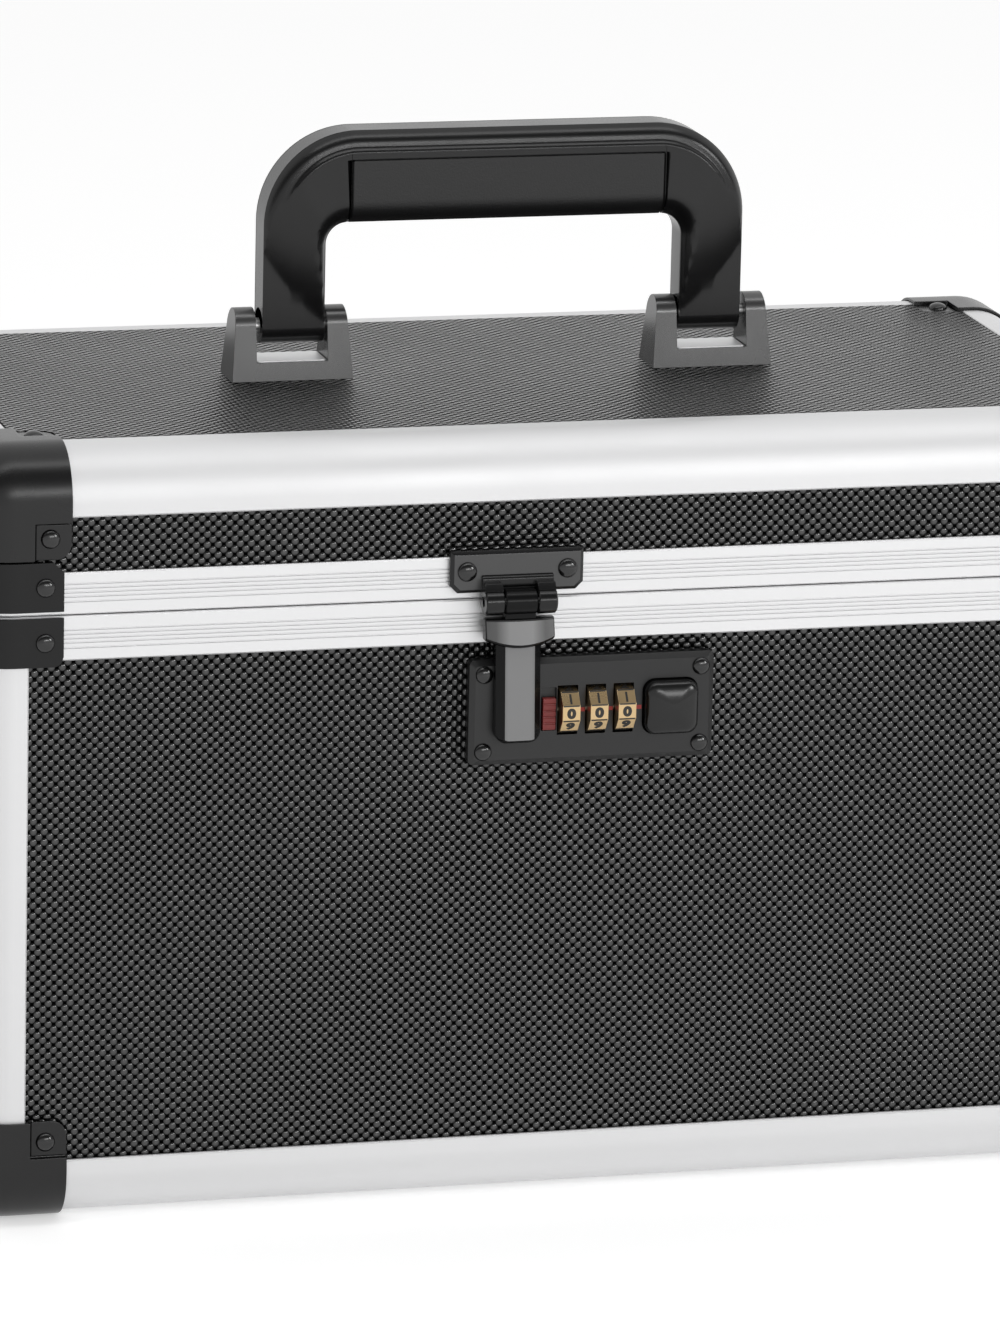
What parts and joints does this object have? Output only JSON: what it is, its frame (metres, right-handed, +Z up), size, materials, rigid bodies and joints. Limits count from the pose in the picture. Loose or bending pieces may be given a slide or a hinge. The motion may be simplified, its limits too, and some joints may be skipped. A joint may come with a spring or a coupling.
{
  "type": "medication lock box",
  "caption": "Portable case with textured boards in an aluminium frame, capped corners, a rear-hinged lid with a folding carry handle, and a hasp that closes on a combination lock.",
  "frame": {"origin": "centre of the underside, on the surface that the bottom corner caps stand on", "axes": "+Z up, the lock and hasp on the -Y side, +X to the right of someone facing the lock"},
  "size_m": [0.343, 0.1879, 0.2827],
  "materials": {
    "board": "dimpled black laminate on board, low sheen",
    "lining": "dark felt on board",
    "aluminium": "satin extruded aluminium",
    "cap_plastic": "semi-gloss black",
    "black_metal": "black, semi-gloss",
    "handle_plastic": "satin black",
    "grip_plastic": "fine-textured black",
    "button_plastic": "glossy black",
    "red_plastic": "ribbed red",
    "brass": "brushed, digits filled black",
    "steel": "plain"
  },
  "bodies": {
    "base": {"base_bottom_board": "board", "base_front_board": "board", "base_back_board": "board", "base_left_board": "board", "base_right_board": "board", "base_lining": "lining", "base_rail_front": "aluminium", "base_rail_back": "aluminium", "base_rail_left": "aluminium", "base_rail_right": "aluminium", "base_post_front_left": "aluminium", "base_post_front_right": "aluminium", "base_post_back_left": "aluminium", "base_post_back_right": "aluminium", "base_rim": "aluminium", "base_cap_front_left": "cap_plastic", "base_cap_front_right": "cap_plastic", "base_cap_back_left": "cap_plastic", "base_cap_back_right": "cap_plastic", "base_bracket_front_left": "black_metal", "base_bracket_front_right": "black_metal", "base_bracket_back_left": "black_metal", "base_bracket_back_right": "black_metal", "lock_body": "black_metal", "lock_back_cover": "black_metal", "wheel_axle": "steel", "button_spring": "steel", "hinge_lower_leaf_left": "black_metal", "hinge_lower_leaf_right": "black_metal"},
    "lid": {"lid_top_board": "board", "lid_side_band": "board", "lid_lining": "lining", "lid_rail_front": "aluminium", "lid_rail_back": "aluminium", "lid_rail_left": "aluminium", "lid_rail_right": "aluminium", "lid_rim": "aluminium", "lid_cap_front_left": "cap_plastic", "lid_cap_front_right": "cap_plastic", "lid_cap_back_left": "cap_plastic", "lid_cap_back_right": "cap_plastic", "lid_bracket_front_left": "black_metal", "lid_bracket_front_right": "black_metal", "lid_bracket_back_left": "black_metal", "lid_bracket_back_right": "black_metal", "hinge_upper_leaf_left": "black_metal", "hinge_upper_leaf_right": "black_metal", "hasp_plate": "black_metal", "hasp_pin": "steel", "handle_foot_left": "handle_plastic", "handle_foot_right": "handle_plastic"},
    "hasp_arm": {"hasp_arm": "black_metal"},
    "handle": {"handle_frame": "handle_plastic", "handle_grip": "grip_plastic"},
    "digit_wheel_1": {"digit_wheel_1": "brass"},
    "digit_wheel_2": {"digit_wheel_2": "brass"},
    "digit_wheel_3": {"digit_wheel_3": "brass"},
    "release_button": {"release_button": "button_plastic"},
    "catch_bolt": {"catch_bolt": "steel"},
    "code_slider": {"code_slider": "red_plastic"}
  },
  "joints": [
    {"name": "lid_open", "type": "hinge", "parent": "base", "child": "lid", "pos_m": [0, 0.091, 0.16965], "axis": [-1, 0, 0], "range_deg": [0, 100]},
    {"name": "handle_fold", "type": "hinge", "parent": "lid", "child": "handle", "pos_m": [-0.0022, 0, 0.2281], "axis": [1, 0, 0], "range_deg": [-90, 90]},
    {"name": "hasp_swing", "type": "hinge", "parent": "lid", "child": "hasp_arm", "pos_m": [-0.019, -0.0905, 0.16965], "axis": [-1, 0, 0], "range_deg": [0, 140]},
    {"name": "wheel_1_spin", "type": "hinge", "parent": "base", "child": "digit_wheel_1", "pos_m": [-0.0043, -0.0863, 0.1384], "axis": [1, 0, 0], "continuous": true},
    {"name": "wheel_2_spin", "type": "hinge", "parent": "base", "child": "digit_wheel_2", "pos_m": [0.0035, -0.0863, 0.1384], "axis": [1, 0, 0], "continuous": true},
    {"name": "wheel_3_spin", "type": "hinge", "parent": "base", "child": "digit_wheel_3", "pos_m": [0.0113, -0.0863, 0.1384], "axis": [1, 0, 0], "continuous": true},
    {"name": "button_press", "type": "slide", "parent": "base", "child": "release_button", "axis": [0, 1, 0], "range_m": [0, 0.0025], "stiffness_N_per_m": 300, "springref_m": -0.001},
    {"name": "catch_slide", "type": "slide", "parent": "base", "child": "catch_bolt", "axis": [1, 0, 0], "range_m": [0, 0.0025]},
    {"name": "code_shift", "type": "slide", "parent": "base", "child": "code_slider", "axis": [0, 0, 1], "range_m": [0, 0.0025]}
  ],
  "couplings": [
    {"joint": "catch_slide", "follows": "button_press", "ratio": 1}
  ]
}
